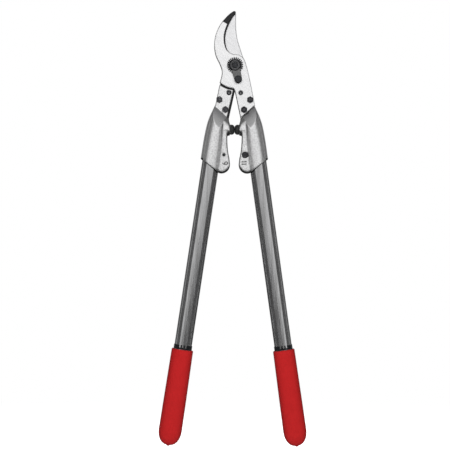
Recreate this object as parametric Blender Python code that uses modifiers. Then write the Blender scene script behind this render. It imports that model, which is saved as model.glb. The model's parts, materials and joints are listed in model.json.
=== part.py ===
"""Long handled bypass lopper, built in metres at its real size and shown closed.

X runs to the right, Y to the back and Z up to the blade tips. The origin is the peg that the
lopper hangs on, under its two rubber buffers. The two plates of the head meet at Y = 0: the hook
shaped counter blade in front of that plane, the cutting blade behind it. The two tube sockets are
the same casting, turned half a turn about Z, and so is all that is bolted to them.
"""
import math

import bmesh
import bpy
from mathutils import Matrix, Vector

MM = 0.001

# Clearances
SEAT_GAP = 0.3 * MM          # between faces that rest on each other, and round pins and bolts
SHEAR_GAP = 0.3 * MM         # between the two plates of the head
HEEL_GAP = 2.0 * MM          # between a blade's round heel and the tongue of the other socket
BUFFER_GAP = 0.3 * MM        # between the two buffers when the lopper is closed

# Head plates
PLATE_T = 5.0 * MM
HEEL_R = 31.8 * MM           # round heel of both blades, about the pivot
BLADE_CHAMFER = 0.8 * MM
TONGUE_CHAMFER = 0.5 * MM
PIVOT_HEIGHT = 96.9 * MM     # pivot above the hanging peg

# The V between the two handles, and the shoulder that the blade tangs end on
VEE_APEX_Z = -35.8 * MM
VEE_SLOPE = 0.215
TONGUE_APEX_X = 2.1 * MM
TONGUE_VEE_SLOPE = 0.235
TANG_TOP_Z = -24.0 * MM      # height where the outer edge of a tongue is TANG_EDGE_X out
TANG_EDGE_X = 20.5 * MM
TANG_EDGE_SLOPE = 0.203
TANG_EDGE_FROM_Z = -27.0 * MM  # the straight outer edge of a tang begins here
COUNTER_EDGE_OUT = 1.2 * MM  # the counter blade's tang is wider than the tongue behind it
CUTTING_EDGE_OUT = -0.6 * MM  # and the cutting blade's is narrower
HEEL_CORNER = Vector((-1.0 * MM, -33.4 * MM))  # where the round heel turns into the V
SHOULDER_IN = Vector((10.6 * MM, -70.8 * MM))
SHOULDER_ANGLE = math.radians(41.3)
RAMP_ANGLE = math.radians(21.0)

# Pivot and its adjusting nut
PIVOT_SHANK_R = 6.0 * MM
PIVOT_THREAD_R = 3.7 * MM
PIVOT_HEAD_R = 10.0 * MM
PIVOT_HEAD_T = 3.5 * MM
PIVOT_WASHER_R = 12.0 * MM
PIVOT_WASHER_T = 1.2 * MM
NUT_TEETH = 24
NUT_TIP_R = 11.2 * MM
NUT_ROOT_R = 8.5 * MM
NUT_TOOTH_TIP = math.radians(3.3)   # half angles of a tooth at its tip and at its root
NUT_TOOTH_ROOT = math.radians(5.3)
NUT_DISC_T = 2.9 * MM
NUT_HUB_R = 7.2 * MM
NUT_HUB_T = 5.8 * MM
NUT_RECESS_R = 5.3 * MM
NUT_RECESS_DEPTH = 2.2 * MM
NUT_CHAMFER = 0.6 * MM
PIVOT_CHAMFER = 0.8 * MM
PIVOT_END_PROUD = 1.2 * MM   # the bolt's end above the bottom of the nut's recess

# Lock segment, from the nut down to its screw
SEGMENT_ANGLE = math.radians(-77.0)
SEGMENT_SCREW_R = 20.0 * MM  # distance of the lock screw from the pivot
SEGMENT_TOP_W = 5.9 * MM     # half widths
SEGMENT_END_W = 5.2 * MM
SEGMENT_LIP_T = 1.0 * MM
SEGMENT_SHOULDER = 2.0 * MM  # from the nut's hub to where the segment begins to taper
LOCK_SCREW_TURN = 17.0       # in degrees
LOCK_WASHER_R = 5.3 * MM
LOCK_WASHER_T = 0.8 * MM

# Socket casting
HANDLE_TILT = math.radians(8.23)
AXIS_APEX_Z = 90.6 * MM      # where both tube axes meet, above the pivot
SLAB_HALF_T = 8.0 * MM
SLAB_ROUND = 2.4 * MM
SOCKET_WALL = 2.6 * MM
EAR_CENTRE = Vector((18.0 * MM, -136.0 * MM))
EAR_R = 12.0 * MM
MOUTH_ANGLE = 37.8           # in degrees; the mouth of the holder slants up from the ear's round end
EAR_SCREW_AT = Vector((14.5 * MM, -123.4 * MM))
SLIT_T = 1.4 * MM
SLIT_TOP_Z = -101.0 * MM

# Buffers
BUFFER_Z = -88.3 * MM
BUFFER_R = 7.0 * MM
BUFFER_FACE_X = 6.4 * MM
BUFFER_STEM_R = 3.0 * MM
BUFFER_STEM_L = 5.0 * MM
BOSS_R = 8.4 * MM
BOSS_CHAMFER = 0.8 * MM
BOSS_DEPTH_X = 15.0 * MM     # how far from the middle plane the boss reaches into the casting
DOME = 3.0                   # exponent of the buffers' profile, 2 is a circle

# Tubes, collars and grips, as distances down the tube axis from AXIS_APEX_Z
TUBE_W = 24.0 * MM
TUBE_D = 19.5 * MM
TUBE_WALL = 1.5 * MM
TUBE_START = 182.0 * MM
COLLAR_START = 481.0 * MM
GRIP_START = 487.3 * MM
GRIP_END = 621.8 * MM
GRIP_TOP_W = 29.8 * MM
GRIP_END_W = 32.0 * MM
GRIP_FLATNESS = 3.4 * MM     # how much less deep than wide the grip is
GRIP_DOME_L = 21.0 * MM
GRIP_RIM = 0.7 * MM
GRIP_NUB_L = 1.2 * MM
GRIP_NUB_R = 1.7 * MM
TUBE_END_IN_GRIP = 24.0 * MM  # from the tube's end to the grip's end
COLLAR_PROUD = 0.75 * MM
COLLAR_SLOTS = 3             # slots in its upper edge, front and back
COLLAR_SLOT_PITCH = 4.2 * MM
COLLAR_SLOT_W = 2.1 * MM
COLLAR_SLOT_L = 3.6 * MM
OVAL = 2.3                   # exponent of the tube's oval, 2 is an ellipse
OVAL_SIDES = 32

# Fasteners
M5_R = 2.5 * MM
M5_HEX = 8.2 * MM            # across flats
M5_HEAD_T = 3.4 * MM
M5_NUT_T = 4.0 * MM
M5_END = 0.8 * MM            # bolt end that stands past its nut
M5_CHAMFER = 0.35 * MM
OUTER_BOLT_AT = Vector((21.2 * MM, -47.3 * MM))
INNER_BOLT_AT = Vector((12.9 * MM, -61.0 * MM))
PIN_AT = Vector((8.1 * MM, -37.7 * MM))
PIN_R = 2.7 * MM
PIN_BORE_R = 0.8 * MM
PIN_PROUD = 0.3 * MM
CAP_R = 4.25 * MM
CAP_T = 5.0 * MM
CAP_HEX = 4.0 * MM
CAP_SUNK = 3.2 * MM
CAP_CHAMFER = 0.5 * MM
EAR_SCREW_R = 2.4 * MM
EAR_SCREW_END = 2.0 * MM     # its end stays this far inside the far face

# Outlines of the blades in millimetres from the pivot, X and Z, seen from the front
HOOK_BACK = [(-21.0, -24.3), (-19.2, -18.0), (-18.1, -12.5), (-18.2, -7.5), (-21.0, 1.0),
             (-26.0, 11.1), (-28.5, 20.8), (-28.8, 31.1), (-27.0, 41.9), (-20.8, 56.1),
             (-10.1, 69.0), (-2.6, 74.9)]
HOOK_TIP = [(-0.6, 75.1), (0.9, 73.6)]
HOOK_INSIDE = [(0.4, 71.8), (-5.4, 63.3), (-11.4, 49.8), (-13.8, 37.4), (-12.2, 25.3),
               (-8.5, 18.8), (-2.9, 15.7), (4.3, 14.8), (10.8, 11.2), (14.3, 4.8),
               (17.4, -5.8), (20.8, -19.6)]
BLADE_BACK = [(1.0, 71.6), (1.0, 60.3), (1.5, 47.2), (3.5, 35.5), (6.9, 24.5), (10.6, 13.4),
              (14.0, 5.0), (16.6, -5.5), (17.6, -12.5), (18.6, -18.0), (20.6, -24.3)]
BLADE_CHOIL = [(-18.9, -19.5), (-17.4, -12.5), (-17.1, -5.0), (-17.2, 5.0), (-16.4, 12.0)]
BLADE_EDGE = [(-15.2, 17.2), (-16.6, 25.5), (-16.8, 37.4), (-14.2, 50.0), (-8.6, 62.4),
              (-4.0, 68.6), (0.6, 72.6)]
INSIDE_BEVEL_W = [2.2, 2.3, 2.3, 2.2, 1.7, 1.0, 0.7, 0.7, 0.6]  # along HOOK_INSIDE, in mm
INSIDE_BEVEL_DEPTH = 0.9     # depth of that bevel as a share of its width
TIP_FACET_FROM = Vector((-18.3, 60.8))
TIP_FACET_TO = Vector((-10.6, 56.4))
TIP_FACET_ANGLE = math.radians(7.0)
GRIND_W = 9.0                # width of the ground face on the back of the cutting blade, in mm
EDGE_LAND = 0.5 * MM         # thickness left at the cutting edge

# Outline of the socket's ear and neck, in millimetres like the blades
NECK = [(6.6, -68.0), (7.6, -72.2), (7.9, -75.2), (7.3, -78.2), (6.5, -80.6)]
EAR_EDGE = [(9.9, -96.0), (9.9, -102.4), (9.4, -112.0), (8.5, -120.0), (7.0, -127.0)]
# Holder sections down the tube axis: distance, how much narrower the section is on its outer
# and on its inner side than at the mouth, and how far its crown lies off the axis
HOLDER_SECTIONS = [(136.0, 11.0, 5.6, -4.0), (148.5, 8.2, 5.4, -3.8), (162.0, 4.1, 5.0, -3.4),
                   (172.0, 1.9, 4.4, -3.2), (181.0, 0.9, 3.2, -2.5), (192.0, 0.3, 1.8, -1.4),
                   (205.0, 0.0, 0.6, -0.4), (222.0, 0.0, 0.0, 0.0), (250.0, 0.0, 0.0, 0.0)]


def clear_scene():
    """Remove every object of the open file."""
    for obj in list(bpy.data.objects):
        bpy.data.objects.remove(obj, do_unlink=True)


def new_collection(name):
    """Make a collection in the scene, or empty one that is there."""
    collection = bpy.data.collections.get(name) or bpy.data.collections.new(name)
    if name not in bpy.context.scene.collection.children:
        bpy.context.scene.collection.children.link(collection)
    return collection


clear_scene()
PARTS = new_collection("lopper")
CUTTERS = new_collection("lopper_cutters")


def material(name, colour, roughness, metallic):
    """One Principled material."""
    mat = bpy.data.materials.new(name)
    mat.use_nodes = True
    shader = mat.node_tree.nodes["Principled BSDF"]
    shader.inputs["Base Color"].default_value = (*colour, 1.0)
    shader.inputs["Roughness"].default_value = roughness
    shader.inputs["Metallic"].default_value = metallic
    mat.diffuse_color = (*colour, 1.0)
    return mat


BLADE_STEEL = ("blade_steel", (0.74, 0.74, 0.75), 0.32, 1.0)
CAST_ALLOY = ("cast_alloy", (0.68, 0.68, 0.69), 0.42, 1.0)
TUBE_ALLOY = ("tube_alloy", (0.24, 0.24, 0.25), 0.35, 1.0)
BLACK_STEEL = ("black_steel", (0.045, 0.045, 0.05), 0.38, 0.8)
SEGMENT_STEEL = ("segment_steel", (0.20, 0.20, 0.20), 0.45, 0.9)
BLACK_RUBBER = ("black_rubber", (0.02, 0.02, 0.02), 0.65, 0.0)
BLACK_PLASTIC = ("black_plastic", (0.012, 0.012, 0.014), 0.25, 0.0)
RED_PLASTIC = ("red_plastic", (0.52, 0.017, 0.02), 0.55, 0.0)


# Outlines

def through(points, steps=2):
    """A smooth open curve through the points, steps segments between each two."""
    knots = [Vector(p) for p in points]
    first = knots[0] * 2 - knots[1]
    last = knots[-1] * 2 - knots[-2]
    knots = [first] + knots + [last]
    curve = []
    for a, b, c, d in zip(knots, knots[1:], knots[2:], knots[3:]):
        for step in range(steps):
            t = step / steps
            curve.append(0.5 * (2 * b + (c - a) * t + (2 * a - 5 * b + 4 * c - d) * t ** 2
                                + (3 * b - a - 3 * c + d) * t ** 3))
    return curve + [knots[-2]]


def arc(centre, radius, start, end, count):
    """Points on an arc from one angle to another, in degrees."""
    angles = [math.radians(start + (end - start) * i / (count - 1)) for i in range(count)]
    return [Vector(centre) + Vector((math.cos(a), math.sin(a))) * radius for a in angles]


def in_mm(points):
    """Outline points that are written in millimetres, as metres."""
    return [Vector(p[:2]) * MM for p in points]


def mirrored(points):
    """The same outline on the other side of the middle plane, with its sense kept."""
    return [Vector((-p[0], p[1])) for p in reversed(points)]


def oval_ring(half_w, half_d, inner_w=None, crown=0.0):
    """An oval about the tube axis; its crown can lie off the middle of its width."""
    ring = []
    for i in range(OVAL_SIDES):
        angle = 2 * math.pi * i / OVAL_SIDES
        c, s = math.cos(angle), math.sin(angle)
        reach = half_w - crown if c > 0 else (inner_w or half_w) + crown
        x = crown + reach * math.copysign(abs(c) ** (2 / OVAL), c)
        ring.append((x, half_d * math.copysign(abs(s) ** (2 / OVAL), s)))
    return ring


def shoulder_point(along, below=0.0):
    """A point of the shoulder line of the right socket, or below it."""
    line = Vector((math.cos(SHOULDER_ANGLE), math.sin(SHOULDER_ANGLE)))
    down = Vector((line.y, -line.x))
    return SHOULDER_IN + line * along + down * below


def vee_point(z, apex_x, slope):
    """A point of the V edge of the right handle at a height."""
    return Vector((apex_x + slope * (VEE_APEX_Z - z), z))


def edge_point(z, out=0.0):
    """A point of the outer edge of the right tongue or tang at a height."""
    return Vector((TANG_EDGE_X + out + TANG_EDGE_SLOPE * (TANG_TOP_Z - z), z))


def where_meets_shoulder(start, slope_per_z, gap):
    """Follow a straight edge, x growing by slope_per_z as z falls, down to the shoulder line."""
    line_dir = Vector((slope_per_z, -1.0))
    origin = shoulder_point(0.0, -gap)
    shoulder = shoulder_point(1.0, -gap) - origin
    offset = origin - start
    cross = line_dir.x * shoulder.y - line_dir.y * shoulder.x
    t = (offset.x * shoulder.y - offset.y * shoulder.x) / cross
    return start + line_dir * t


# Solids

def link(name, mesh, where=PARTS):
    """An object for a mesh, in one of the two collections."""
    obj = bpy.data.objects.new(name, mesh)
    where.objects.link(obj)
    if where is CUTTERS:
        obj.hide_render = True
        obj.display_type = "WIRE"
    return obj


def tidy_mesh(mesh):
    """Weld the points and turn all faces outwards."""
    bm = bmesh.new()
    bm.from_mesh(mesh)
    bmesh.ops.remove_doubles(bm, verts=bm.verts, dist=0.001 * MM)
    bmesh.ops.recalc_face_normals(bm, faces=bm.faces)
    bm.to_mesh(mesh)
    bm.free()


def applied(obj):
    """The object's mesh with its modifiers, as a mesh of its own."""
    graph = bpy.context.evaluated_depsgraph_get()
    return bpy.data.meshes.new_from_object(obj.evaluated_get(graph))


def plate(name, outline, y_from, y_to, holes=(), chamfer=0.0, rounds=0, where=PARTS):
    """A flat outline in the XZ plane, extruded from y_from to y_to, with round holes."""
    curve = bpy.data.curves.new(name, "CURVE")
    curve.dimensions = "2D"
    curve.fill_mode = "BOTH"
    curve.extrude = abs(y_to - y_from) / 2 - chamfer
    curve.bevel_depth = chamfer
    curve.bevel_resolution = rounds
    curve.offset = -chamfer
    rings = [outline] + [arc(at, radius, 0, 337.5, 16) for at, radius in holes]
    for ring in rings:
        spline = curve.splines.new("POLY")
        spline.points.add(len(ring) - 1)
        for point, (x, z) in zip(spline.points, ring):
            point.co = (x, z, 0.0, 1.0)
        spline.use_cyclic_u = True
    holder = link(name, curve, CUTTERS)
    bpy.context.view_layer.update()
    mesh = applied(holder)
    bpy.data.objects.remove(holder)
    bpy.data.curves.remove(curve)
    mesh.transform(Matrix.Translation((0, (y_from + y_to) / 2, 0)) @ Matrix.Rotation(math.pi / 2, 4, "X"))
    tidy_mesh(mesh)
    mesh.name = name
    return link(name, mesh, where)


def turned(name, profile, steps=32, where=PARTS):
    """A profile of (radius, y) points turned about the Y axis; it starts and ends on the axis."""
    mesh = bpy.data.meshes.new(name)
    bm = bmesh.new()
    verts = [bm.verts.new((radius, y, 0)) for radius, y in profile]
    for a, b in zip(verts, verts[1:]):
        bm.edges.new((a, b))
    if profile[0][0] > 0:
        bm.edges.new((verts[-1], verts[0]))
    bm.to_mesh(mesh)
    bm.free()
    obj = link(name, mesh, where)
    screw = obj.modifiers.new("turn", "SCREW")
    screw.axis = "Y"
    screw.steps = steps
    screw.render_steps = steps
    screw.use_merge_vertices = True
    screw.merge_threshold = 0.001 * MM
    bpy.context.view_layer.update()
    obj.data = applied(obj)
    obj.modifiers.clear()
    tidy_mesh(obj.data)
    smooth(obj)
    return obj


def loft(name, rings, where=PARTS):
    """A closed skin over rings of as many points each, with flat ends."""
    mesh = bpy.data.meshes.new(name)
    bm = bmesh.new()
    loops = [[bm.verts.new(point) for point in ring] for ring in rings]
    for lower, upper in zip(loops, loops[1:]):
        for i in range(len(lower)):
            j = (i + 1) % len(lower)
            bm.faces.new((lower[i], lower[j], upper[j], upper[i]))
    bm.faces.new(loops[0])
    bm.faces.new(loops[-1])
    bm.to_mesh(mesh)
    bm.free()
    tidy_mesh(mesh)
    return link(name, mesh, where)


def block(name, size, matrix, where=CUTTERS):
    """A box of a size, placed by a matrix."""
    bm = bmesh.new()
    bmesh.ops.create_cube(bm, size=1.0, matrix=matrix @ Matrix.Diagonal((*size, 1.0)))
    mesh = bpy.data.meshes.new(name)
    bm.to_mesh(mesh)
    bm.free()
    tidy_mesh(mesh)
    return link(name, mesh, where)


def rod(name, at, radius, y_from, y_to, where=CUTTERS, sides=28):
    """A round rod along Y at a point of the XZ plane."""
    bm = bmesh.new()
    place = Matrix.Translation((at[0], (y_from + y_to) / 2, at[1])) @ Matrix.Rotation(math.pi / 2, 4, "X")
    bmesh.ops.create_cone(bm, cap_ends=True, segments=sides, radius1=radius, radius2=radius,
                          depth=abs(y_to - y_from), matrix=place)
    mesh = bpy.data.meshes.new(name)
    bm.to_mesh(mesh)
    bm.free()
    tidy_mesh(mesh)
    return link(name, mesh, where)


def shape(obj, operation, *tools):
    """Apply Booleans with the tools, in order, and drop the tools."""
    for tool in tools:
        step = obj.modifiers.new(tool.name, "BOOLEAN")
        step.operation = operation
        step.object = tool
        step.solver = "EXACT"
    bpy.context.view_layer.update()
    mesh = applied(obj)
    obj.modifiers.clear()
    obj.data = mesh
    for tool in tools:
        bpy.data.objects.remove(tool)
    tidy_mesh(mesh)


def cut(obj, *tools):
    """Take the tools away from the object."""
    shape(obj, "DIFFERENCE", *tools)


def join(obj, *tools):
    """Unite the object with the tools."""
    shape(obj, "UNION", *tools)


def smooth(obj, angle=22.0):
    """Shade round faces smooth and keep the real edges sharp."""
    obj.data.shade_smooth()
    obj.data.set_sharp_from_angle(angle=math.radians(angle))


def hexagon(across, turn=30.0):
    """A hexagon by its width across flats; turn 30 stands a corner up."""
    return arc((0, 0), across / 2 / math.cos(math.pi / 6), turn, turn + 300, 6)


def tube_axis():
    """From the frame of a right tube, Z along its axis, to the frame of the pivot."""
    return Matrix.Translation((0, 0, AXIS_APEX_Z)) @ Matrix.Rotation(-HANDLE_TILT, 4, "Y")


def ring_on_axis(ring, distance):
    """An oval ring, lifted to its place down the tube axis."""
    return [Vector((x, y, -distance)) for x, y in ring]


# Head

FRONT = -SHEAR_GAP / 2 - PLATE_T     # front face of the front plate
BACK = SHEAR_GAP / 2 + PLATE_T       # back face of the back plate
NUT_SEAT = FRONT - SEAT_GAP          # where what is clamped on the front plate begins
DISC_FRONT = NUT_SEAT - NUT_DISC_T
SEGMENT_FRONT = DISC_FRONT - SEAT_GAP - SEGMENT_LIP_T
HUB_FRONT = NUT_SEAT - NUT_HUB_T


def tang_outline(edge_out):
    """The right tang: down its outer edge, along the shoulder, up the V and round the heel."""
    outer_top = edge_point(TANG_EDGE_FROM_Z, edge_out)
    outer_end = where_meets_shoulder(outer_top, TANG_EDGE_SLOPE, SEAT_GAP)
    inner_end = where_meets_shoulder(Vector((0.0, VEE_APEX_Z)), VEE_SLOPE, SEAT_GAP)
    apex = vee_point(VEE_APEX_Z - 1.0 * MM, 0.0, VEE_SLOPE)
    heel = arc((0, 0), HEEL_R, 266, 231, 10)
    return [outer_top, outer_end, inner_end, apex, HEEL_CORNER] + heel


def drills(side=1, *more):
    """Cutters for the bolt and pin holes of a tang or tongue on one side, and for more holes."""
    spots = [(OUTER_BOLT_AT, M5_R), (INNER_BOLT_AT, M5_R), (PIN_AT, PIN_R)]
    holes = [(Vector((side * at.x, at.y)), radius) for at, radius in spots] + list(more)
    return [rod("drill", at, radius + SEAT_GAP, -2 * PLATE_T, 2 * PLATE_T, sides=18)
            for at, radius in holes]


def segment_screw_at():
    """Where the lock screw stands."""
    return Vector((math.cos(SEGMENT_ANGLE), math.sin(SEGMENT_ANGLE))) * SEGMENT_SCREW_R


def bevel_cutter(name, path, outward, y_face, margin=1.5):
    """A wedge that bevels an edge. Path points are x, z, bevel width and bevel depth, in mm."""
    path = through(path, 3)
    points = [p.xy for p in path]
    rings = []
    for i, (_, _, width, depth) in enumerate(path):
        along = (points[min(i + 1, len(points) - 1)] - points[max(i - 1, 0)]).normalized()
        inward = Vector((along.y, -along.x))
        face = Vector((width, y_face / MM))
        wall = Vector((0.0, y_face / MM - outward * depth))
        slope = (face - wall).normalized() * margin
        face += slope
        wall -= slope
        corner = Vector((wall.x, face.y))
        rings.append([Vector((points[i].x + inward.x * n, y, points[i].y + inward.y * n)) * MM
                      for n, y in (face, wall, corner)])
    return loft(name, rings, CUTTERS)


def tip_facet_cutter():
    """A block whose back face slopes backwards from the facet's lower line to the hook's tip."""
    line = (TIP_FACET_TO - TIP_FACET_FROM).normalized()
    axes = Matrix(((line.x, 0, -line.y), (0, 1, 0), (line.y, 0, line.x)))
    size = Vector((60.0, 10.0, 50.0)) * MM
    middle = (TIP_FACET_FROM + TIP_FACET_TO) / 2 * MM
    place = (Matrix.Translation((middle.x, FRONT, middle.y)) @ axes.to_4x4()
             @ Matrix.Rotation(-TIP_FACET_ANGLE, 4, "X")
             @ Matrix.Translation((0, -size.y / 2, size.z / 2)))
    return block("tip_facet_cutter", size, place)


def counter_blade():
    """The hook, with its tang, a facet at the tip and a bevel along its inside."""
    outline = (through(in_mm(HOOK_BACK), 3) + in_mm(HOOK_TIP) + through(in_mm(HOOK_INSIDE), 3)
               + tang_outline(COUNTER_EDGE_OUT))
    blade = plate("counter_blade", outline, FRONT, -SHEAR_GAP / 2, chamfer=BLADE_CHAMFER)
    bevel = [(x, z, width, width * INSIDE_BEVEL_DEPTH)
             for (x, z), width in zip(HOOK_INSIDE, INSIDE_BEVEL_W)]
    cut(blade, tip_facet_cutter(), bevel_cutter("inside_bevel_cutter", bevel, -1, FRONT),
        *drills(1, ((0, 0), PIVOT_SHANK_R), (segment_screw_at(), M5_R)))
    return blade


def cutting_blade():
    """The ground blade behind the hook, with the mirrored tang."""
    heel_to_edge = mirrored(tang_outline(CUTTING_EDGE_OUT))
    outline = (through(in_mm(BLADE_BACK), 3) + heel_to_edge + through(in_mm(BLADE_CHOIL))
               + through(in_mm(BLADE_EDGE), 3))
    blade = plate("cutting_blade", outline, SHEAR_GAP / 2, BACK, chamfer=BLADE_CHAMFER)
    depth = (PLATE_T - EDGE_LAND) / MM
    grind = [(x, z, GRIND_W, depth) for x, z in BLADE_EDGE]
    cut(blade, bevel_cutter("grind_cutter", grind, 1, BACK),
        *drills(-1, ((0, 0), PIVOT_SHANK_R)))
    return blade


def pivot_bolt():
    """Flat head at the back, a shank that both blades turn on, and a thread for the nut."""
    head_seat = BACK + SEAT_GAP + PIVOT_WASHER_T + SEAT_GAP
    shank_end = FRONT + SEAT_GAP
    head_end = head_seat + PIVOT_HEAD_T
    end = HUB_FRONT + NUT_RECESS_DEPTH - PIVOT_END_PROUD
    edge = PIVOT_CHAMFER
    return turned("pivot_bolt", [
        (0, head_end), (PIVOT_HEAD_R - edge, head_end), (PIVOT_HEAD_R, head_end - edge),
        (PIVOT_HEAD_R, head_seat),
        (PIVOT_SHANK_R, head_seat), (PIVOT_SHANK_R, shank_end), (PIVOT_THREAD_R, shank_end),
        (PIVOT_THREAD_R, end + edge / 2), (PIVOT_THREAD_R - edge / 2, end), (0, end)])


def washer(name, seat, thickness, outer, bore, at=(0, 0)):
    """A flat ring on its seat, thickness being negative towards the front."""
    ring = turned(name, [(outer, seat), (outer, seat + thickness), (bore, seat + thickness),
                         (bore, seat)])
    ring.data.transform(Matrix.Translation((at[0], 0, at[1])))
    return ring


def toothed_ring(grow=0.0):
    """Outline of the nut's teeth, or of the space that the teeth need with a clearance."""
    outline = []
    tip, root = NUT_TIP_R + grow, NUT_ROOT_R + grow
    tip_half = NUT_TOOTH_TIP + grow / tip
    root_half = NUT_TOOTH_ROOT + grow / root
    for tooth in range(NUT_TEETH):
        middle = 2 * math.pi * (tooth + 0.5) / NUT_TEETH + SEGMENT_ANGLE
        for radius, turn in ((root, -root_half), (tip, -tip_half), (tip, tip_half), (root, root_half)):
            outline.append(Vector((math.cos(middle + turn), math.sin(middle + turn))) * radius)
    return outline


def toothed_nut():
    """Toothed disc with a raised, recessed hub and a bore for the pivot's thread."""
    nut = plate("toothed_nut", toothed_ring(), NUT_SEAT, DISC_FRONT)
    root = NUT_SEAT - MM
    hub = turned("hub", [(0, root), (NUT_HUB_R, root), (NUT_HUB_R, HUB_FRONT + NUT_CHAMFER),
                         (NUT_HUB_R - NUT_CHAMFER, HUB_FRONT), (0, HUB_FRONT)], where=CUTTERS)
    join(nut, hub)
    cut(nut, rod("nut_bore", (0, 0), PIVOT_THREAD_R + SEAT_GAP, NUT_SEAT + MM, HUB_FRONT - MM),
        rod("nut_recess", (0, 0), NUT_RECESS_R, HUB_FRONT + NUT_RECESS_DEPTH, HUB_FRONT - MM))
    return nut


def lock_segment():
    """Plate with teeth that mesh with the nut under a lip that covers them, down to its screw."""
    down = Vector((math.cos(SEGMENT_ANGLE), math.sin(SEGMENT_ANGLE)))
    side = Vector((-down.y, down.x))
    top_r = NUT_HUB_R + SEAT_GAP
    turn = math.degrees(SEGMENT_ANGLE)
    spread = math.degrees(math.asin(SEGMENT_TOP_W * 0.9 / top_r))
    top = arc((0, 0), top_r, turn - spread, turn + spread, 10)
    shoulder = top_r + SEGMENT_SHOULDER
    outline = top + [down * shoulder + side * SEGMENT_TOP_W]
    outline += arc(segment_screw_at(), SEGMENT_END_W, turn + 80, turn - 80, 14)
    outline += [down * shoulder - side * SEGMENT_TOP_W]
    hole = [(segment_screw_at(), M5_R + SEAT_GAP)]
    segment = plate("lock_segment", outline, NUT_SEAT, SEGMENT_FRONT, hole, 0.2 * MM)
    cut(segment, plate("teeth_cutter", toothed_ring(SEAT_GAP), NUT_SEAT + 2 * MM,
                       DISC_FRONT - SEAT_GAP, where=CUTTERS))
    return segment


def hex_bolt(name, at, seat, head_t, shank_end, turn=30.0):
    """A hexagon head on its seat with a plain shank; head_t points away from what it clamps."""
    outline = [at + p for p in hexagon(M5_HEX, turn)]
    bolt = plate(name, outline, seat, seat + head_t, chamfer=M5_CHAMFER)
    join(bolt, rod("shank", at, M5_R, seat + head_t / 2, shank_end, sides=20))
    return bolt


def hex_nut(name, at, seat, thickness, turn=30.0):
    """A hexagon nut on its seat, with a clear bore for the bolt."""
    outline = [at + p for p in hexagon(M5_HEX, turn)]
    return plate(name, outline, seat, seat + thickness, [(at, M5_R + SEAT_GAP)], M5_CHAMFER)


def lock_screw():
    """Hexagon screw that holds the segment and its washer on the counter blade."""
    seat = SEGMENT_FRONT - SEAT_GAP - LOCK_WASHER_T - SEAT_GAP
    return hex_bolt("lock_screw", segment_screw_at(), seat, -M5_HEAD_T, -SHEAR_GAP / 2 - 2 * SEAT_GAP,
                    LOCK_SCREW_TURN)


# Socket casting

def holder_rings():
    """Oval sections of the tube holder, from above the shoulder to past the mouth."""
    wide = TUBE_W / 2 + SOCKET_WALL
    deep = TUBE_D / 2 + SOCKET_WALL
    rings = []
    for distance, outer, inner, crown in through(HOLDER_SECTIONS, 2):
        ring = oval_ring(wide - outer * MM, deep, wide - inner * MM, crown * MM)
        rings.append(ring_on_axis(ring, distance * MM))
    return rings


def roof():
    """All that the casting may fill: below the shoulder and under the two ramps."""
    length = 140.0 * MM
    low = BACK + length * math.tan(RAMP_ANGLE)
    rings = []
    for along in (-90.0 * MM, 110.0 * MM):
        near, far = shoulder_point(along), shoulder_point(along, length)
        rings.append([Vector((near.x, -BACK, near.y)), Vector((near.x, BACK, near.y)),
                      Vector((far.x, low, far.y)), Vector((far.x, -low, far.y))])
    return loft("roof", rings, CUTTERS)


def slab_outline():
    """The flat part of the casting: neck, flank of the boss, and the round ear."""
    ear = arc(EAR_CENTRE, EAR_R, 168, 270 + MOUTH_ANGLE, 16)
    inside = [tube_axis() @ Vector((0, 0, -distance * MM)) for distance in (222.0, 150.0)]
    return (through(in_mm(NECK)) + through(in_mm(EAR_EDGE)) + ear
            + [Vector((p.x, p.z)) for p in inside])


def mouth_cutter():
    """Cuts the holder off along the round of the ear and on up the slant."""
    reach = 120.0 * MM
    skim = 0.15 * MM
    ear = arc(EAR_CENTRE, EAR_R - skim, 270, 270 + MOUTH_ANGLE, 8)
    slant = Vector((math.cos(math.radians(MOUTH_ANGLE)), math.sin(math.radians(MOUTH_ANGLE))))
    far = ear[-1] + slant * reach
    outline = ear + [far, Vector((far.x, far.y - 2 * reach)), Vector((ear[0].x, far.y - 2 * reach))]
    return plate("mouth", outline, -reach / 2, reach / 2, where=CUTTERS)


def tongue():
    """The flat tongue behind the counter blade's tang, up to the round heel of the other blade."""
    below = 8.0 * MM
    heel = arc((0, 0), HEEL_R + HEEL_GAP, -86.6, -51.6, 10)
    apex = Vector((TONGUE_APEX_X, VEE_APEX_Z))
    outline = heel + [where_meets_shoulder(heel[-1], TANG_EDGE_SLOPE, -below),
                      where_meets_shoulder(apex, TONGUE_VEE_SLOPE, -below)]
    return plate("tongue", outline, SHEAR_GAP / 2, BACK, chamfer=TONGUE_CHAMFER, where=CUTTERS)


# A frame whose Y axis points to the middle plane, for what is turned about the buffers' axis
BUFFER_AXIS = Matrix.Translation((0, 0, BUFFER_Z)) @ Matrix.Rotation(math.pi / 2, 4, "Z")


def boss():
    """Round seat of the buffer."""
    part = turned("boss", [(0, -BUFFER_FACE_X), (BOSS_R - BOSS_CHAMFER, -BUFFER_FACE_X),
                           (BOSS_R, -BUFFER_FACE_X - BOSS_CHAMFER), (BOSS_R, -BOSS_DEPTH_X),
                           (0, -BOSS_DEPTH_X)],
                  where=CUTTERS)
    part.data.transform(BUFFER_AXIS)
    return part


def tube_bore(start, end):
    """Cutter for the oval bore that the tube sits in, between two distances."""
    ring = oval_ring(TUBE_W / 2 + SEAT_GAP, TUBE_D / 2 + SEAT_GAP)
    return loft("bore", [ring_on_axis(ring, distance) for distance in (start, end)], CUTTERS)


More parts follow.
